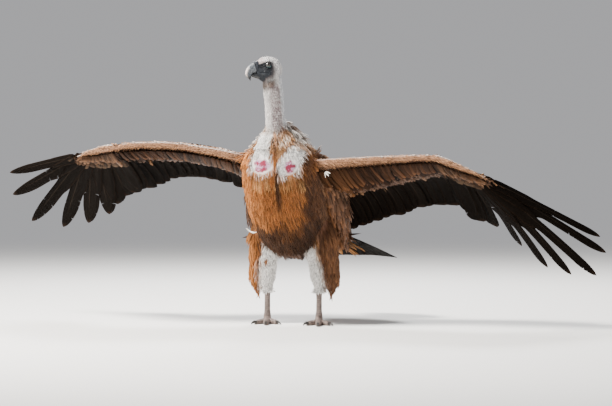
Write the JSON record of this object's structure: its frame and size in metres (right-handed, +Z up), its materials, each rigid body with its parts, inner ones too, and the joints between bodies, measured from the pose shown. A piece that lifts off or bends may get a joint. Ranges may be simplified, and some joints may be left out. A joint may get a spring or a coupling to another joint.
{
  "type": "griffon vulture model",
  "caption": "Life-size griffon vulture standing with both wings spread, head turned to its right and tail half fanned.",
  "frame": {"origin": "on the floor, under the middle of the whole bird's box", "axes": "+Z up, the bird looks along -Y and its left wing points along +X"},
  "size_m": [2.2684, 0.853, 0.9688],
  "materials": {
    "eye": "dark brown eye, wet and glossy",
    "bill": "grey horn with a pale upper ridge and a dark cere, satin",
    "head_down": "short whitish down over slate grey skin",
    "neck_down": "short white down in rows over mauve skin",
    "body_feathers": "orange brown lanceolate feathers, darker on the flanks and back",
    "ruff_feathers": "loose pale down and narrow streaked feathers",
    "covert_feathers": "brown coverts with paler edges",
    "flight_feathers": "near black flight feathers, slightly silky",
    "leg_down": "dense white down",
    "leg_scales": "grey scaly skin, matte",
    "claw": "blackish horn, satin"
  },
  "bodies": {
    "root": {"eye_left": "eye", "eye_right": "eye", "bill_upper": "bill", "bill_lower": "bill", "head": "head_down", "neck": "neck_down", "trunk": "body_feathers", "ruff": "ruff_feathers", "tail_root": "covert_feathers", "tail_feathers": "flight_feathers", "upper_arm_left": "covert_feathers", "forearm_left": "covert_feathers", "hand_left": "covert_feathers", "thumb_left": "covert_feathers", "scapulars_left": "body_feathers", "flank_left": "body_feathers", "tarsus_left": "leg_scales", "shank_left": "leg_down", "thigh_left": "body_feathers", "foot_left": "leg_scales", "secondaries_left": "flight_feathers", "primaries_left": "flight_feathers", "claw_middle_left": "claw", "claw_inner_left": "claw", "claw_outer_left": "claw", "claw_hind_left": "claw", "upper_arm_right": "covert_feathers", "forearm_right": "covert_feathers", "hand_right": "covert_feathers", "thumb_right": "covert_feathers", "scapulars_right": "body_feathers", "flank_right": "body_feathers", "tarsus_right": "leg_scales", "shank_right": "leg_down", "thigh_right": "body_feathers", "foot_right": "leg_scales", "secondaries_right": "flight_feathers", "primaries_right": "flight_feathers", "claw_middle_right": "claw", "claw_inner_right": "claw", "claw_outer_right": "claw", "claw_hind_right": "claw"}
  },
  "joints": []
}
